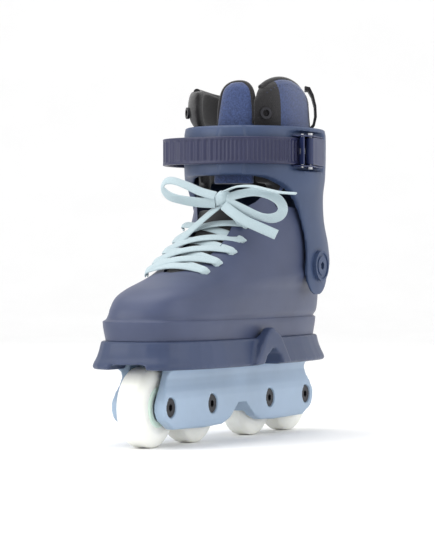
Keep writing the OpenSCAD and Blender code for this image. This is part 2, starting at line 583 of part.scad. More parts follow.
lever = [[54.2, 51], [55.2, 60], [54.4, 70], [53.6, 78.5], [54.6, 80], [55.7, 77], [57.3, 67], [58.6, 58], [59.3, 50.5],
    [57, 49]];
module buckle_lever() color("#26344f") difference() {
    union() {
        plan_prism(lever, 213.9, 235.4);
        translate([pin_at[0], pin_at[1], 213.9]) cylinder(h = 21.5, r = 3.2);
    }
    translate([pin_at[0], pin_at[1], 200]) cylinder(h = 50, r = 1.6 + run);
}

boot_shell();
pivot_washers();
pivot_nuts();
cuff_bolts();
shock_absorber();
footbed();
liner_foot();
tongue_lower();
lace_laced();
lace_knot();
lace_loop_outer();
lace_loop_inner();
lace_tail_upper();
lace_tail_lower();
sole_plate();
sole_screws();
frame();
frame_bolts();
frame_nuts();
axle_bolts();
axle_sleeves();
bearing_spacers();
bearing_inner_rings();
tyre(0);  // wheel_1_tyre
hub(0);  // wheel_1_hub
bearings(0);  // wheel_1_bearings
balls(0);  // wheel_1_balls
tyre(1);  // wheel_2_tyre
hub(1);  // wheel_2_hub
bearings(1);  // wheel_2_bearings
balls(1);  // wheel_2_balls
tyre(2);  // wheel_3_tyre
hub(2);  // wheel_3_hub
bearings(2);  // wheel_3_bearings
balls(2);  // wheel_3_balls
tyre(3);  // wheel_4_tyre
hub(3);  // wheel_4_hub
bearings(3);  // wheel_4_bearings
balls(3);  // wheel_4_balls
cuff();
liner_collar();
tongue_upper();
pull_loop();
liner_eyelets();
ladder_strap();
strap_bolt();
strap_nut();
buckle_base();
buckle_rivets();
lever_pin();
pawl_pin();
pawl_spring();
holding_pawl();
buckle_lever();
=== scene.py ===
import math

import bmesh
import bpy
import numpy as np
from mathutils import Matrix, Vector


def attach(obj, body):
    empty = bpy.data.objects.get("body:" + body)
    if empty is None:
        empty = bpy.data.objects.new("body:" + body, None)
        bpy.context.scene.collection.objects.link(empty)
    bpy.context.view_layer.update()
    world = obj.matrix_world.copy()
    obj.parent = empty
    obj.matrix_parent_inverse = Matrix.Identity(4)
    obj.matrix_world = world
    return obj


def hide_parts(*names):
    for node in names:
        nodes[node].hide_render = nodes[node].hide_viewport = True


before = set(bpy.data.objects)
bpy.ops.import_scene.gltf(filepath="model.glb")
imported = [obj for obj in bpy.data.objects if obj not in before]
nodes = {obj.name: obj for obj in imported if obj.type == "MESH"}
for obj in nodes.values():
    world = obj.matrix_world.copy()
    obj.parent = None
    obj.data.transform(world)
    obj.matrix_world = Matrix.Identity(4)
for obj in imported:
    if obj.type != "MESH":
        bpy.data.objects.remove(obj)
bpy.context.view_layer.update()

# ---------------------------------------------------------------- camera
SENSOR = 36  # mm
LENS = 161.4  # mm
cam_data = bpy.data.cameras.new("camera")
cam_data.sensor_width = SENSOR
cam_data.lens = LENS
cam = bpy.data.objects.new("camera", cam_data)
bpy.context.scene.collection.objects.link(cam)
eye = Vector((0.879, -1.688, 0.133))
aim = Vector((0, 0, 0.1296))
cam.location = eye
cam.rotation_euler = (aim - eye).to_track_quat("-Z", "Y").to_euler()
bpy.context.scene.camera = cam
bpy.context.scene.view_settings.view_transform = "Standard"


# ---------------------------------------------------------------- materials
def lin(c):
    out = []
    for v in c:
        v = v / 255
        out.append(v / 12.92 if v <= 0.04045 else ((v + 0.055) / 1.055) ** 2.4)
    return (*out, 1)


class Mat:
    def __init__(self, name):
        self.m = bpy.data.materials.new(name)
        self.m.use_nodes = True
        self.nt = self.m.node_tree
        self.b = self.nt.nodes["Principled BSDF"]
        self.tc = self.nt.nodes.new("ShaderNodeTexCoord")

    def n(self, kind, **kw):
        node = self.nt.nodes.new(kind)
        for k, v in kw.items():
            if k in node.inputs:
                node.inputs[k].default_value = v
            else:
                setattr(node, k, v)
        return node

    def l(self, a, b):
        self.nt.links.new(a, b)

    def noise(self, scale, detail=4, rough=0.6, out="Object", stretch=None):
        t = self.n("ShaderNodeTexNoise", Scale=scale, Detail=detail, Roughness=rough)
        src = self.tc.outputs[out]
        if stretch:
            mp = self.n("ShaderNodeMapping")
            mp.inputs["Scale"].default_value = stretch
            self.l(src, mp.inputs["Vector"])
            src = mp.outputs[0]
        self.l(src, t.inputs["Vector"])
        return t.outputs[0]

    def ramp(self, fac, c0, c1, p0=0.35, p1=0.65):
        r = self.n("ShaderNodeValToRGB")
        r.color_ramp.elements[0].position = p0
        r.color_ramp.elements[1].position = p1
        r.color_ramp.elements[0].color = c0
        r.color_ramp.elements[1].color = c1
        self.l(fac, r.inputs[0])
        return r.outputs[0]

    def bump(self, height, strength, dist):
        bp = self.n("ShaderNodeBump", Strength=strength, Distance=dist)
        self.l(height, bp.inputs["Height"])
        old = self.b.inputs["Normal"].links
        if old:
            self.l(old[0].from_socket, bp.inputs["Normal"])
        self.l(bp.outputs[0], self.b.inputs["Normal"])

    def rough(self, fac, a, b):
        mr = self.n("ShaderNodeMapRange")
        mr.inputs["To Min"].default_value = a
        mr.inputs["To Max"].default_value = b
        self.l(fac, mr.inputs["Value"])
        self.l(mr.outputs[0], self.b.inputs["Roughness"])


def scale_c(c, k):
    return tuple(min(255, v * k) for v in c)


def moulded(name, c, r0=0.42, r1=0.56, depth=0.00006, var=0.05, edge=0.0):
    m = Mat(name)
    col = m.ramp(m.noise(14, 5), lin(scale_c(c, 1 - var)), lin(scale_c(c, 1 + var)))
    if edge:
        geo = m.n("ShaderNodeNewGeometry")
        e = m.ramp(geo.outputs["Pointiness"], (0, 0, 0, 1), (1, 1, 1, 1), 0.52, 0.6)
        sc = m.ramp(m.noise(160, 6), (0, 0, 0, 1), (1, 1, 1, 1), 0.45, 0.7)
        mul = m.n("ShaderNodeMath", operation="MULTIPLY")
        m.l(e, mul.inputs[0])
        m.l(sc, mul.inputs[1])
        mu2 = m.n("ShaderNodeMath", operation="MULTIPLY")
        mu2.inputs[1].default_value = edge
        m.l(mul.outputs[0], mu2.inputs[0])
        mix = m.n("ShaderNodeMix", data_type="RGBA")
        m.l(mu2.outputs[0], mix.inputs[0])
        m.l(col, mix.inputs[6])
        mix.inputs[7].default_value = lin(scale_c(c, 1.5))
        col = mix.outputs[2]
    m.l(col, m.b.inputs["Base Color"])
    m.rough(m.noise(40, 6), r0, r1)
    m.bump(m.noise(2200, 2), 0.25, depth)
    m.bump(m.noise(30, 2), 0.12, 0.0006)
    m.b.inputs["Specular IOR Level"].default_value = 0.4
    return m.m


def metal(name, c, rough=0.32):
    m = Mat(name)
    m.l(m.ramp(m.noise(60, 4), lin(scale_c(c, 0.9)), lin(c)), m.b.inputs["Base Color"])
    m.b.inputs["Metallic"].default_value = 0.9
    m.rough(m.noise(500, 4, stretch=(1, 1, 12)), rough - 0.08, rough + 0.1)
    m.bump(m.noise(900, 3, stretch=(1, 1, 10)), 0.1, 0.00005)
    return m.m


WEAVE = 1500 / 6.3


def cloth(name, c, split=None):
    """Woven cloth; split = (axis, place, other colour) changes colour across one seam."""
    m = Mat(name)
    w1 = m.n("ShaderNodeTexWave", Scale=WEAVE, Distortion=0.6, bands_direction="DIAGONAL")
    w1.inputs["Detail Scale"].default_value = 2
    w2 = m.n("ShaderNodeTexWave", Scale=WEAVE, Distortion=0.6, bands_direction="Z")
    for w in (w1, w2):
        m.l(m.tc.outputs["Object"], w.inputs["Vector"])
    mx = m.n("ShaderNodeMath", operation="MAXIMUM")
    m.l(w1.outputs["Fac"], mx.inputs[0])
    m.l(w2.outputs["Fac"], mx.inputs[1])
    col = m.ramp(m.noise(700, 3), lin(scale_c(c, 0.84)), lin(scale_c(c, 1.14)))
    if split:
        sep = m.n("ShaderNodeSeparateXYZ")
        m.l(m.tc.outputs["Object"], sep.inputs[0])
        gt = m.n("ShaderNodeMath", operation="GREATER_THAN")
        m.l(sep.outputs[split[0]], gt.inputs[0])
        gt.inputs[1].default_value = split[1]
        # the lining inside the opening stays black
        away = m.n("ShaderNodeVectorMath", operation="SUBTRACT")
        m.l(m.tc.outputs["Object"], away.inputs[0])
        away.inputs[1].default_value = (0, 0.064, 0.26)
        geo = m.n("ShaderNodeNewGeometry")
        dot = m.n("ShaderNodeVectorMath", operation="DOT_PRODUCT")
        m.l(away.outputs[0], dot.inputs[0])
        m.l(geo.outputs["Normal"], dot.inputs[1])
        outw = m.n("ShaderNodeMath", operation="GREATER_THAN")
        m.l(dot.outputs["Value"], outw.inputs[0])
        outw.inputs[1].default_value = 0.004
        th = m.n("ShaderNodeMath", operation="MULTIPLY")
        m.l(gt.outputs[0], th.inputs[0])
        m.l(outw.outputs[0], th.inputs[1])
        col2 = m.ramp(m.noise(700, 3), lin(scale_c(split[2], 0.84)), lin(scale_c(split[2], 1.14)))
        mix = m.n("ShaderNodeMix", data_type="RGBA")
        m.l(th.outputs[0], mix.inputs[0])
        m.l(col, mix.inputs[6])
        m.l(col2, mix.inputs[7])
        col = mix.outputs[2]
    m.l(col, m.b.inputs["Base Color"])
    m.rough(m.noise(300, 3), 0.75, 0.92)
    m.bump(mx.outputs[0], 0.5, 0.00022)
    m.bump(m.noise(60, 3), 0.3, 0.0008)
    m.b.inputs["Sheen Weight"].default_value = 0.35
    m.b.inputs["Sheen Roughness"].default_value = 0.5
    m.b.inputs["Specular IOR Level"].default_value = 0.2
    return m.m


def lace_cloth(name, c):
    """Flat woven lace: chevron weave laid out on the ribbon's own length and width."""
    m = Mat(name)
    sep = m.n("ShaderNodeSeparateXYZ")
    m.l(m.tc.outputs["UV"], sep.inputs[0])
    ab = m.n("ShaderNodeMath", operation="ABSOLUTE")
    m.l(sep.outputs[0], ab.inputs[0])
    add = m.n("ShaderNodeMath", operation="ADD")
    m.l(ab.outputs[0], add.inputs[0])
    m.l(sep.outputs[1], add.inputs[1])
    mul = m.n("ShaderNodeMath", operation="MULTIPLY")
    mul.inputs[1].default_value = 2 * math.pi / 0.0011
    m.l(add.outputs[0], mul.inputs[0])
    sn = m.n("ShaderNodeMath", operation="SINE")
    m.l(mul.outputs[0], sn.inputs[0])
    mr = m.n("ShaderNodeMapRange")
    mr.inputs["From Min"].default_value = -1
    m.l(sn.outputs[0], mr.inputs["Value"])
    col = m.ramp(mr.outputs[0], lin(scale_c(c, 0.86)), lin(scale_c(c, 1.04)), 0.0, 0.8)
    m.l(col, m.b.inputs["Base Color"])
    m.rough(m.noise(500, 3), 0.7, 0.9)
    m.bump(mr.outputs[0], 0.6, 0.00025)
    m.b.inputs["Sheen Weight"].default_value = 0.3
    m.b.inputs["Specular IOR Level"].default_value = 0.25
    return m.m


NAVY = (62, 70, 96)
M = {
    "shell": moulded("shell_plastic", NAVY, 0.4, 0.52, edge=0.12),
    "cuff": moulded("cuff_plastic", (53, 68, 98), 0.4, 0.52, edge=0.12),
    "sole": moulded("sole_plastic", (50, 62, 91), 0.38, 0.5, edge=0.2),
    "strap": moulded("strap_plastic", (38, 41, 70), 0.34, 0.46, edge=0.15),
    "buckle": moulded("buckle_plastic", (32, 42, 78), 0.3, 0.42),
    "frame": moulded("frame_plastic", (152, 172, 194), 0.36, 0.48, var=0.03, edge=0.2),
    "hub": moulded("hub_plastic", (206, 226, 214), 0.4, 0.5, var=0.03),
    "steel": metal("steel", (196, 198, 202)),
    "black_steel": metal("black_steel", (58, 58, 62), 0.4),
    "liner_cloth": cloth("liner_cloth", (54, 68, 106)),
    "liner_black": cloth("liner_black", (30, 29, 31)),
    "collar": cloth("collar_cloth", (30, 29, 31), split=(1, 0.037, (54, 68, 106))),
    "foam": moulded("foam", (70, 74, 82), 0.8, 0.95, depth=0.0003),
    "lace": lace_cloth("lace_weave", (176, 194, 200)),
}
m = Mat("urethane")
m.l(m.ramp(m.noise(30, 4), lin((232, 233, 226)), lin((244, 244, 238))), m.b.inputs["Base Color"])
m.rough(m.noise(80, 5), 0.3, 0.48)
m.bump(m.noise(600, 4), 0.12, 0.0001)
m.b.inputs["Subsurface Weight"].default_value = 0.25
m.b.inputs["Subsurface Radius"].default_value = (0.004, 0.004, 0.003)
m.b.inputs["Specular IOR Level"].default_value = 0.45
M["urethane"] = m.m


# ---------------------------------------------------------------- mesh helpers
def add(name, verts, faces, material, body, slot=None, smooth=40):
    me = bpy.data.meshes.new(name)
    me.from_pydata([tuple(v) for v in verts], [], [tuple(f) for f in faces])
    me.validate()
    ob = bpy.data.objects.new(name, me)
    bpy.context.scene.collection.objects.link(ob)
    if material:
        me.materials.append(M[material])
    me.shade_smooth()
    if smooth:
        me.set_sharp_from_angle(angle=math.radians(smooth))
    if body:
        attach(ob, body)
    return ob


def tidy(ob):
    bm = bmesh.new()
    bm.from_mesh(ob.data)
    bmesh.ops.recalc_face_normals(bm, faces=bm.faces[:])
    bm.to_mesh(ob.data)
    bm.free()


def curve_pts(p, per=6):
    """Smooth points through p."""
    p = np.array(p, float)
    q = np.vstack([2 * p[0] - p[1], p, 2 * p[-1] - p[-2]])
    out = []
    for i in range(1, len(q) - 2):
        for k in range(per):
            t = k / per
            a, b, c, d = q[i - 1], q[i], q[i + 1], q[i + 2]
            square = 2 * a - 5 * b + 4 * c - d
            cube = 3 * b - a - 3 * c + d
            out.append(0.5 * (2 * b + (c - a) * t + square * t * t + cube * t**3))
    out.append(q[-2])
    return np.array(out)


def ribbon(name, pts, up, body, width=8.0, thick=1.5, per=6):
    """A flat lace with rounded edges swept along pts (mm). Returns the piece and its path in metres."""
    c = curve_pts(pts, per)
    n = len(c)
    tang = np.gradient(c, axis=0)
    tang /= np.linalg.norm(tang, axis=1)[:, None]
    up = np.array(up, float)
    ups = np.tile(up, (n, 1)) if up.ndim == 1 else np.array(
        [[np.interp(i / (n - 1), np.linspace(0, 1, len(up)), up[:, k]) for k in range(3)] for i in range(n)])
    side = np.cross(tang, ups)
    side /= np.linalg.norm(side, axis=1)[:, None]
    nor = np.cross(side, tang)
    sec = 14
    verts, uvs = [], []
    s = np.concatenate([[0], np.cumsum(np.linalg.norm(np.diff(c, axis=0), axis=1))]) / 1000
    for i in range(n):
        for k in range(sec):
            a = 2 * math.pi * (k + 0.5) / sec
            ca, sa = math.cos(a), math.sin(a)
            x = width / 2 * np.sign(ca) * abs(ca) ** 0.6
            z = thick / 2 * np.sign(sa) * abs(sa) ** 0.8 + 0.25 * (1 - (2 * x / width) ** 2)
            verts.append((c[i] + side[i] * x + nor[i] * z) / 1000)
            uvs.append((x / 1000, s[i]))
    faces = []
    for i in range(n - 1):
        for k in range(sec):
            a, b = i * sec + k, i * sec + (k + 1) % sec
            faces.append((a, b, b + sec, a + sec))
    faces.append(tuple(range(sec - 1, -1, -1)))
    faces.append(tuple((n - 1) * sec + k for k in range(sec)))
    ob = add(name, verts, faces, "lace", body, "lace", 60)
    uv = ob.data.uv_layers.new(name="weave")
    for li, loop in enumerate(ob.data.loops):
        uv.data[li].uv = uvs[loop.vertex_index]
    tidy(ob)
    return ob, c / 1000


# ---------------------------------------------------------------- laces (mm)
loop_outer = [
    [16, -15, 187], [28, -17, 189.5], [42, -19, 191], [54, -20, 189], [63, -20.5, 184.5], [67, -21, 178],
    [64, -21, 172.5], [56, -22, 170.5], [45, -21, 173], [32, -19, 178], [17, -16, 183.5]]
loop_inner = [
    [6, -15, 188.5], [-6, -17.5, 192], [-17, -20, 197], [-27, -22, 200.5], [-33.5, -23, 200],
    [-36, -23.5, 195], [-32, -23.5, 190], [-26, -23.5, 187.2], [-17, -21, 185], [-6, -18, 183.5],
    [6, -15.5, 183]]
tail_upper = [[15, -16, 192], [28, -21, 195], [42, -24, 195], [56, -24, 192], [66, -23, 190], [78, -21, 189]]
tail_lower = [[15, -18, 181], [25, -22, 175], [36, -24, 169], [48, -24, 164], [62, -22, 158]]
# the way each band faces, from its start to its end
outer_up = [[0.1, -0.9, 0.45], [0, -0.8, 0.6], [0.75, -0.7, 0.1], [0, -0.8, -0.6], [0.1, -0.9, -0.2]]
inner_up = [[-0.1, -0.8, 0.6], [0, -0.6, 0.8], [-0.75, -0.7, 0.1], [0, -0.85, -0.5], [0, -1, -0.1]]
for nm, pts, up, w, t, end in (
        ("lace_loop_outer", loop_outer, outer_up, 8, 1.4, "object"),
        ("lace_loop_inner", loop_inner, inner_up, 8, 1.4, "object"),
        ("lace_tail_upper", tail_upper, [0, -0.2, 1], 6, 1.6, "bare"),
        ("lace_tail_lower", tail_lower, [0, -1, 0.3], 8, 1.4, "bare")):
    ob, c = ribbon(nm + "_woven", pts, up, "boot", w, t)
    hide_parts(nm)

# knot: a crossed wrap of lace, three tilted loops round one centre point
knot = np.array([11, -12, 186.0])
KNOT_DEPTH = 4.4
for i, (tilt, rad, w) in enumerate(((20, 6.2, 8), (-50, 5.6, 7.5), (75, 5.2, 7))):
    ring = []
    for k in range(17):
        a = math.radians(360 * k / 16 + 90)
        u = np.array([math.cos(math.radians(tilt)), 0, math.sin(math.radians(tilt))])
        deep = np.array([0, KNOT_DEPTH * math.sin(a), 0.2 * k / 16])
        ring.append(knot + u * rad * math.cos(a) + deep)
    nrm = [(np.array(p) - knot) for p in ring]
    ob, c = ribbon(f"lace_knot_wrap_{i + 1}", ring, nrm, "boot", w, 1.3, per=3)
    if i == 0:
        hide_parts("lace_knot")

eyelets = [[24, -66, 128.4], [26, -50, 135], [28, -30, 143.5], [28, -14, 152], [26, -3, 164]]


def strand(name, a, b, lift, dip=3.0):
    a, b = np.array(a, float), np.array(b, float)
    mid = (a + b) / 2 + lift * np.array([0, -0.55, 0.83])
    pts = [a * (1 - t) ** 2 + 2 * mid * t * (1 - t) + b * t * t for t in np.linspace(0, 1, 9)]
    # the ends turn down into the eyelets
    first_end = pts[0] + np.array([np.sign(a[0]) * 1.5, 1.5, -dip])
    last_end = pts[-1] + np.array([np.sign(b[0]) * 1.5, 1.5, -dip])
    pts = [first_end] + pts + [last_end]
    return ribbon(name, pts, [0, -0.55, 0.83], "boot", 8, 1.4, per=4)[0]


first = True
for i in range(4):
    for mm in (-1, 1):
        a, b = eyelets[i], eyelets[i + 1]
        ob = strand(f"lace_cross_{i + 1}_{'a' if mm < 0 else 'b'}",
            [-mm * (a[0] + 0.5) - 1, a[1] - 1.2, a[2] + 2.4],
            [mm * (b[0] + 0.5) - 1, b[1] - 1.2, b[2] + 2.4], 10 + 3 * mm)
        if first:
            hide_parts("lace_laced")
            first = False
for i, (a, b) in enumerate((([9, -11, 182], [-25, -30, 146]), ([12, -12, 182], [24, -7, 168]))):
    strand(f"lace_to_knot_{i + 1}", a, b, 3, 1.0)
strand("lace_bottom", [-24, -67.2, 130.8], [23.5, -67.2, 130.8], 9)


# ---------------------------------------------------------------- smooth copies of the moulded CAD nodes
def rows(table, sub):
    """Rows of a section table with smooth ones between them."""
    t = np.array(table, float)
    out = []
    for i in range(len(t) - 1):
        a, b = t[i], t[i + 1]
        p = t[i - 1] if i else 2 * a - b
        d = t[i + 2] if i + 2 < len(t) else 2 * b - a
        for k in range(sub):
            u = k / sub
            h = b[0] - a[0]
            ma = (b - p) / (b[0] - p[0]) * h if b[0] != p[0] else b - a
            mb = (d - a) / (d[0] - a[0]) * h if d[0] != a[0] else b - a
            near = (2 * u**3 - 3 * u**2 + 1) * a + (u**3 - 2 * u**2 + u) * ma
            r = near + (-2 * u**3 + 3 * u**2) * b + (u**3 - u**2) * mb
            r[0] = a[0] + u * h
            out.append(r)
    out.append(t[-1])
    return out


def loft(name, table, off=0.0, n=144, sub=4):
    rs = rows(table, sub)
    verts = []
    for s in rs:
        e = 2 / s[5]
        le, mid = (s[2] - s[1]) / 2 - off, (s[1] + s[2]) / 2
        for i in range(n):
            t = 2 * math.pi * i / n
            c, sn = math.cos(t), math.sin(t)
            v = np.sign(sn) * abs(sn) ** e
            w = (s[3] if c > 0 else s[4]) - off
            x = np.sign(c) * abs(c) ** e * w * (1 - s[6] * v) + s[7] * (1 - v) / 2
            verts.append((x / 1000, (mid + le * v) / 1000, s[0] / 1000))
    faces = [tuple(range(n - 1, -1, -1))]
    for j in range(len(rs) - 1):
        for i in range(n):
            a, b = j * n + i, j * n + (i + 1) % n
            faces.append((a, b, b + n, a + n))
    faces.append(tuple((len(rs) - 1) * n + i for i in range(n)))
    ob = add(name, verts, faces, None, None, None, 0)
    tidy(ob)
    return ob


def prism(name, pts, lo, hi, plane):
    """Outline in mm: plane 'yz' along x, 'xy' along z, 'xz' along y."""
    n = len(pts)
    place = {
        "yz": lambda p, h: (h, p[0], p[1]),
        "xy": lambda p, h: (p[0], p[1], h),
        "xz": lambda p, h: (p[0], h, p[1]),
    }[plane]
    verts = [np.array(place(p, h)) / 1000 for h in (lo, hi) for p in pts]
    faces = [tuple(range(n)), tuple(range(2 * n - 1, n - 1, -1))]
    faces += [(i, i + n, (i + 1) % n + n, (i + 1) % n) for i in range(n)]
    ob = add(name, verts, faces, None, None, None, 0)
    tidy(ob)
    return ob


def rod(name, x0, x1, r, y, z, n=64):
    angles = [2 * math.pi * i / n for i in range(n)]
    return prism(name, [(y + r * math.cos(a), z + r * math.sin(a)) for a in angles], x0, x1, "yz")


def cut(ob, other, op="DIFFERENCE", keep=False):
    mod = ob.modifiers.new("b", "BOOLEAN")
    mod.operation = op
    mod.object = other
    mod.solver = "MANIFOLD"
    dg = bpy.context.evaluated_depsgraph_get()
    me = bpy.data.meshes.new_from_object(ob.evaluated_get(dg))
    ob.modifiers.clear()
    ob.data = me
    if not keep:
        bpy.data.objects.remove(other)
    return ob


def soften(ob, voxel, repeat=3, factor=0.5, ratio=None):
    md = ob.modifiers.new("r", "REMESH")
    md.mode = "VOXEL"
    md.voxel_size = voxel / 1000
    sm = ob.modifiers.new("s", "SMOOTH")
    sm.factor = factor
    sm.iterations = repeat
    if ratio:
        dc = ob.modifiers.new("d", "DECIMATE")
        dc.ratio = ratio
    dg = bpy.context.evaluated_depsgraph_get()
    me = bpy.data.meshes.new_from_object(ob.evaluated_get(dg))
    ob.modifiers.clear()
    ob.data = me
    me.shade_smooth()
    return ob


def finish_piece(ob, name, material, body, node):
    ob.name = name
    ob.data.materials.clear()
    ob.data.materials.append(M[material])
    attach(ob, body)
    if node:
        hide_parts(node)
    return ob


def smooth_line(pts, per=5):
    return [tuple(p) for p in curve_pts(pts, per)]

# ---------------------------------------------------------------- boot shell
boot = [
    [79, -135, 137, 38.5, 38, 3.3, 0.10, -2],
    [93, -137, 139, 40.5, 40, 3.3, 0.10, -2],
    [94.5, -134.5, 137, 39.5, 39, 3.2, 0.10, -2],
    [98, -133.5, 140, 40.5, 40, 3.1, 0.07, -1],
    [103, -132, 141, 41.5, 40.5, 3.0, 0.05, -1],
    [111, -126, 140, 42.5, 41.5, 2.9, 0.02, 0],
    [117, -115, 137, 43, 42, 2.7, -0.03, 1],
    [122, -98, 135, 44.5, 43, 2.6, -0.08, 2],
    [127, -82, 134, 45.3, 44.7, 2.5, -0.13, 3],
    [134, -64, 132, 44, 43.5, 2.5, -0.10, 3.5],
    [143, -45, 130, 44, 43.5, 2.5, -0.10, 3.5],
    [153, -28, 128, 43.5, 43, 2.4, -0.09, 4],
    [165, -14, 126, 43, 42, 2.2, -0.06, 3],
    [180, -4, 123, 41.5, 40.5, 2.1, -0.03, 1],
    [204, 8, 120, 40, 39, 2.0, 0, 0]]
throat = [[-8, -73], [0, -76], [8, -73], [13, -66], [15.5, -50], [18, -30], [18, -14], [18, -3], [27, 12],
    [32, 24], [34, 42], [-32, 42], [-30, 24], [-25, 12], [-16, -3], [-16, -14], [-16, -30], [-14, -50],
    [-11, -66]]
shell_top = [[-90, 240], [-90, 215]] + smooth_line([[-14, 178], [-2, 184], [8, 193], [15, 196],
    [22, 194.5], [26, 187],
    [28.5, 180.5]]) + [[44, 181], [74, 178], [100, 168], [122, 156], [150, 152], [150, 240]]
W = "boot_shell_moulded"
ob = loft(W, boot)
inner = loft("tmp_in", boot, 4)
cut(inner, prism("tmp_f", [(-200, 20), (200, 20), (200, 84), (-200, 84)], -80, 80, "yz"))
# the cavity sits lower than the face, so the wall keeps its thickness over the sloping toe
inner.data.transform(Matrix.Translation((0, 0, -0.0032)))
cut(ob, inner)
cut(ob, prism("tmp_t", throat, 108, 308, "xy"))
cut(ob, prism("tmp_s", shell_top, -80, 80, "yz"))
for s in (-1, 1):
    cut(ob, rod("tmp_b", min(43 * s, 47.6 * s), max(43 * s, 47.6 * s), 13, 76, 134.5), "UNION")
cut(ob, rod("tmp_h", -80, 80, 4.2, 76, 134.5))
for e in eyelets:
    for s in (1, -1):
        h = rod("tmp_e", -8, 8, 2.6, 0, 0, 24)
        h.data.transform(Matrix.Translation(Vector((s * e[0] - (2 if s < 0 else 0), e[1], e[2])) / 1000)
            @ Matrix.Rotation(math.radians(30 * s), 4, "Y")
            @ Matrix.Rotation(math.radians(25), 4, "X")
            @ Matrix.Rotation(math.radians(90), 4, "Y"))
        cut(ob, h)
ob.data.shade_smooth()
ob.data.set_sharp_from_angle(angle=math.radians(32))
finish_piece(ob, W, "shell", "boot", "boot_shell")

# ---------------------------------------------------------------- cuff
cuff_out = [
    [106, 14, 139, 50, 49.5, 2.2, 0, 0],
    [122, 8, 140, 52, 51.5, 2.2, 0, 0],
    [136, 6, 140, 52.5, 52, 2.2, 0, 0],
    [152, 4, 138, 51.8, 51.3, 2.2, 0, 0],
    [170, 2, 135, 50, 49.5, 2.1, 0, 0],
    [190, 0, 132, 50.5, 50, 2.1, 0, 0],
    [206, -2, 132, 53, 52, 2.1, 0, 0],
    [238, -2, 131, 54, 52, 2.1, 0, 0],
    [244, -1, 130, 53, 51, 2.1, 0, 0]]
cuff_in = [
    [100, 20, 136.2, 49.4, 48.6, 2.2, 0, 0],
    [122, 14, 136.4, 49.4, 48.6, 2.2, 0, 0],
    [152, 10, 134.5, 49, 48, 2.2, 0, 0],
    [170, 8, 131.5, 47, 46, 2.1, 0, 0],
    [206, 6, 125, 44.6, 44.6, 2.1, 0, 0],
    [250, 6, 124, 44.6, 44.6, 2.1, 0, 0]]
LOBE = (76, 129.5, 19)  # centre in Y and Z, radius
lobe = [(LOBE[0] + LOBE[2] * math.cos(a), LOBE[1] + LOBE[2] * math.sin(a))
    for a in np.radians(np.linspace(180, 345, 40))]
front_edge = smooth_line([[8, 205], [16, 204], [26, 200], [37, 194], [46, 184], [53, 169], [57, 150]])
rear_edge = smooth_line([[99, 128], [108, 136], [122, 141], [150, 144]])
cuff_side = [(-20, 250), (-20, 205)] + front_edge + lobe + rear_edge + [(150, 250)]
ob = loft("cuff_moulded", cuff_out)
pad = loft("tmp_p", cuff_out, -1.6)
pad_outline = [(1, 231), (3, 206), (21, 206), (24, 231), (21, 243.5), (3, 243.5)]
cut(pad, prism("tmp_q", pad_outline, -30, 30, "xz"), "INTERSECT")
cut(ob, pad, "UNION")
cut(ob, loft("tmp_i", cuff_in))
cut(ob, prism("tmp_c", cuff_side, -80, 80, "yz"), "INTERSECT")
cut(ob, prism("tmp_seat", [(-47, 74), (-53, 79), (-53, 99), (-44, 103), (-43, 103)], 210, 239, "xy"), "UNION")
pocket = [(80, 16), (41, 16), (46, 28), (47.8, 38), (47.8, 81), (51, 85), (80, 88)]
cut(ob, prism("tmp_pk", pocket, 209.5, 240.5, "xy"))
slot_cut = prism("tmp_sl", [(0, -12), (0.9, -12), (0.9, 0), (0, 0)], 190, 250, "xy")
slot_cut.data.transform(Matrix.Translation((-0.013, 0, 0)) @ Matrix.Rotation(math.radians(20), 4, "Z"))
cut(ob, slot_cut)
# bore, room for the washers and boot bosses, and recesses for the bolt heads
bores = ((-80, 80, 6.05), (45.5, 49.4, 13.8), (-49.4, -45.5, 13.8), (51.9, 80, 12.5), (-80, -51.9, 12.5))
for x0, x1, r in bores:
    cut(ob, rod("tmp_r", x0, x1, r, 76, 134.5))
cut(ob, rod("tmp_r", -48, -30, 7.2, 89, 224.5))
soften(ob, 1.3, 3)
finish_piece(ob, "cuff_moulded", "cuff", "cuff_assembly", "cuff")

# ---------------------------------------------------------------- liner collar, tongue, bindings
collar = [
    [150, 12, 121, 40, 39, 2.1, 0, 0],
    [180, 12, 120, 41, 40, 2.1, 0, 0],
    [206, 12, 119, 42.5, 42, 2.1, 0, 0],
    [241, 13, 117, 42, 43, 2.2, 0, 0],
    [250, 11, 115, 40.5, 47.5, 2.4, 0, 0],
    [264, 11, 113, 39.5, 49, 2.5, 0, 0],
    [276, 14, 111, 38, 46, 2.4, 0, 0],
    [285, 22, 107, 34, 40, 2.2, 0, 0]]
outer_top = smooth_line([[5, 262], [17, 264], [24, 273], [36, 280], [52, 282.5], [68, 280], [88, 272],
    [104, 268], [130, 268]])
inner_top = smooth_line([[5, 268], [14, 269], [22, 273], [60, 274], [100, 269], [130, 268]])
front = [[-24, -10], [-27, 34], [-27, 44], [22, 44], [22, 30], [23, -10]]
ob = loft("collar_padded", collar)
PAD_T = 9
hollow = [[s[0], s[1] + PAD_T, s[2] - PAD_T, s[3] - PAD_T, s[4] - PAD_T, *s[5:]] for s in collar]
hollow[0][0] -= 2
hollow[-1][0] += 2
cut(ob, loft("tmp_i", hollow))
cut(ob, rod("tmp_r", -100, 100, 68.7, 76, 134.5, 96))
cut(ob, prism("tmp_f", [(-90, -60), (90, -60), (90, 34), (-90, 34)], 0, 199, "xy"))
cut(ob, prism("tmp_o", outer_top + [(130, 300), (5, 300)], 0, 80, "yz"))
cut(ob, prism("tmp_n", inner_top + [(130, 300), (5, 300)], -80, 0.01, "yz"))
cut(ob, prism("tmp_g", front, 100, 300, "xy"))
soften(ob, 1.6, 14)
finish_piece(ob, "collar_padded", "collar", "cuff_assembly", "liner_collar")


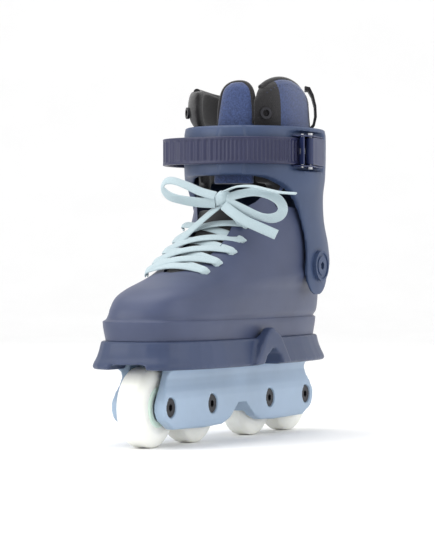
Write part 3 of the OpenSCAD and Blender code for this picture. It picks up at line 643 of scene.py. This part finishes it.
def tube(name, pts, r, body, material, per=4):
    """A round rolled edge of radius r along pts (mm)."""
    c = curve_pts(pts, per)
    cu = bpy.data.curves.new(name, "CURVE")
    cu.dimensions = "3D"
    sp = cu.splines.new("POLY")
    sp.points.add(len(c) - 1)
    for p, q in zip(sp.points, c):
        p.co = (*(q / 1000), 1)
    cu.bevel_depth = r / 1000
    cu.bevel_resolution = 4
    cu.use_fill_caps = True
    tmp = bpy.data.objects.new(name + "_tmp", cu)
    bpy.context.scene.collection.objects.link(tmp)
    dg = bpy.context.evaluated_depsgraph_get()
    me = bpy.data.meshes.new_from_object(tmp.evaluated_get(dg))
    bpy.data.objects.remove(tmp)
    ob = bpy.data.objects.new(name, me)
    bpy.context.scene.collection.objects.link(ob)
    me.materials.clear()
    me.materials.append(M[material])
    me.shade_smooth()
    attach(ob, body)
    return ob


def wall_at(table, y, z, side, off):
    """X of a lofted wall at y, z on one side, off mm inside its face."""
    t = np.array(table, float)
    s = [np.interp(z, t[:, 0], t[:, k]) for k in range(8)]
    le, mid = (s[2] - s[1]) / 2, (s[1] + s[2]) / 2
    v = min(0.995, abs((y - mid) / le))
    return side * ((s[3] if side > 0 else s[4]) * (1 - v ** s[5]) ** (1 / s[5]) - off)


STITCH_PITCH = 3.4
STITCH_DROP = 4.6
# one stitch, a small lozenge: offsets along Y, Z and outward
STITCH = ((-1, 0, -0.3), (-0.6, 0.25, 0.12), (0.6, 0.25, 0.12), (1, 0, -0.3),
    (0.6, -0.25, 0.12), (-0.6, -0.25, 0.12))
# rolled bindings along the collar's top edges, with a line of stitches below
for side, line in ((1, outer_top), (-1, inner_top)):
    y0 = 24.5 if side > 0 else 22.5
    path = [(wall_at(collar, y, z - 1, side, 4.3), y, z - 0.6) for y, z in line if y0 <= y <= 104][::3]
    name = f"collar_binding_{'outer' if side > 0 else 'inner'}"
    tube(name, path, 2.7, "cuff_assembly", "liner_black")
    verts, faces = [], []
    for y in np.arange(y0 + 2, 102, STITCH_PITCH):
        z = np.interp(y, [p[0] for p in line], [p[1] for p in line]) - STITCH_DROP
        x = wall_at(collar, y, z, side, -0.15)
        base = len(verts)
        outer = [((x + side * dx) / 1000, (y + dy) / 1000, (z + dz) / 1000) for dy, dz, dx in STITCH]
        verts += outer + [(q[0] - side * 0.0006, q[1], q[2]) for q in outer]
        faces += [tuple(base + k for k in range(6)), tuple(base + 6 + k for k in range(5, -1, -1))]
        faces += [(base + (k + 1) % 6, base + k, base + 6 + k, base + 6 + (k + 1) % 6) for k in range(6)]
    name = f"collar_stitches_{'outer' if side > 0 else 'inner'}"
    st = add(name, verts, faces, "liner_cloth", "cuff_assembly", "liner_cloth", 0)
    tidy(st)

tongue = [
    [199, 15, 29, 14, 20, 2.4, 0, 0],
    [245, 16, 29, 15, 17, 2.4, 0, 0],
    [262, 17, 30, 15, 15, 2.4, 0, 0],
    [274, 18, 30, 12, 12, 2.3, 0, 0],
    [279, 21, 29, 6, 6, 2.2, 0, 0]]
ob = loft("tongue_padded", tongue, n=72)
ob.data.transform(Matrix.Translation((0.006, 0, 0)))
# two sewn channels down the face
for x in (-1.5, 13.5):
    cut(ob, prism("tmp_ch", [(x - 0.5, 10), (x + 0.5, 10), (x + 0.5, 17.6), (x - 0.5, 17.6)], 190, 290, "xy"))
soften(ob, 1.1, 8)
finish_piece(ob, "tongue_padded", "liner_cloth", "cuff_assembly", "tongue_upper")
TONGUE_X = 6
half = [(14.4, 22, 262), (11.4, 23, 273), (5, 24.5, 278)]
t = [(TONGUE_X + 14.6, 22, 246)] + [(TONGUE_X + x, y, z) for x, y, z in half]
t += [(TONGUE_X - x, y, z) for x, y, z in half[::-1]] + [(TONGUE_X - 15.6, 22, 246)]
tube("tongue_binding", t, 2.2, "cuff_assembly", "liner_black", per=6)

# ---------------------------------------------------------------- CAD nodes as they are, with their finishes
def remeshed(node, material, body, voxel, repeat=3):
    src = nodes[node]
    ob = bpy.data.objects.new(node + "_finished", src.data.copy())
    bpy.context.scene.collection.objects.link(ob)
    soften(ob, voxel, repeat)
    return finish_piece(ob, node + "_finished", material, body, node)


remeshed("sole_plate", "sole", "boot", 1.3, 5)
remeshed("frame", "frame", "boot", 1.0, 2)
remeshed("ladder_strap", "strap", "cuff_assembly", 0.6, 2)
remeshed("buckle_lever", "buckle", "lever", 0.6, 2)
remeshed("buckle_base", "buckle", "cuff_assembly", 0.6, 2)
remeshed("liner_foot", "liner_black", "boot", 1.6, 6)
remeshed("tongue_lower", "liner_black", "boot", 1.2, 4)

given = {"pull_loop": "liner_black", "footbed": "foam", "shock_absorber": "foam",
    "liner_eyelets": "black_steel",
    "cuff_bolts": "cuff", "holding_pawl": "buckle", "frame_bolts": "black_steel", "axle_bolts": "black_steel",
    "sole_screws": "black_steel", "strap_bolt": "black_steel"}
for name, o in nodes.items():
    if o.hide_render:
        continue
    key = given.get(name)
    if not key:
        key = "urethane" if name.endswith("_tyre") else "hub" if name.endswith("_hub") else "steel"
    o.data.materials.clear()
    o.data.materials.append(M[key])

# ---------------------------------------------------------------- floor, light
fm = Mat("floor")
fm.l(fm.ramp(fm.noise(6, 3), lin((250, 250, 250)), lin((252, 252, 252))), fm.b.inputs["Base Color"])
fm.b.inputs["Roughness"].default_value = 0.7
fm.b.inputs["Specular IOR Level"].default_value = 0.1
M["floor"] = fm.m
v, f = [], []
FLOOR_END, CURVE_R = 2.6, 1.2
prof = [(-3.0, 0), (FLOOR_END, 0)]
prof += [(FLOOR_END + CURVE_R * math.sin(math.radians(a)), CURVE_R - CURVE_R * math.cos(math.radians(a)))
    for a in range(10, 91, 10)]
prof += [(3.8, 5)]
back = (aim - eye)
back.z = 0
back.normalize()
across = Vector((-back.y, back.x, 0))
for d, z in prof:
    for s in (-5, 5):
        p = back * d + across * s
        v.append((p.x, p.y, z - 0.0002))
for i in range(len(prof) - 1):
    f.append((2 * i, 2 * i + 1, 2 * i + 3, 2 * i + 2))
floor = add("floor", v, f, "floor", None)

world = bpy.data.worlds.new("studio")
bpy.context.scene.world = world
world.use_nodes = True
world.node_tree.nodes["Background"].inputs[0].default_value = (1, 1, 1, 1)
world.node_tree.nodes["Background"].inputs[1].default_value = 0.95


def area(name, at, to, size, power):
    l = bpy.data.lights.new(name, "AREA")
    l.shape = "RECTANGLE"
    l.size, l.size_y = size
    l.energy = power
    o = bpy.data.objects.new(name, l)
    bpy.context.scene.collection.objects.link(o)
    o.location = at
    o.rotation_euler = (Vector(to) - Vector(at)).to_track_quat("-Z", "Y").to_euler()


area("top_softbox", (-0.3, -0.2, 1.5), (0, 0, 0.1), (1.4, 1.4), 14)
area("left_softbox", (-1.2, -1.5, 0.7), (0, 0, 0.12), (1.0, 1.0), 12)
area("right_softbox", (1.7, 0.1, 0.8), (0, 0, 0.12), (0.8, 1.2), 6)
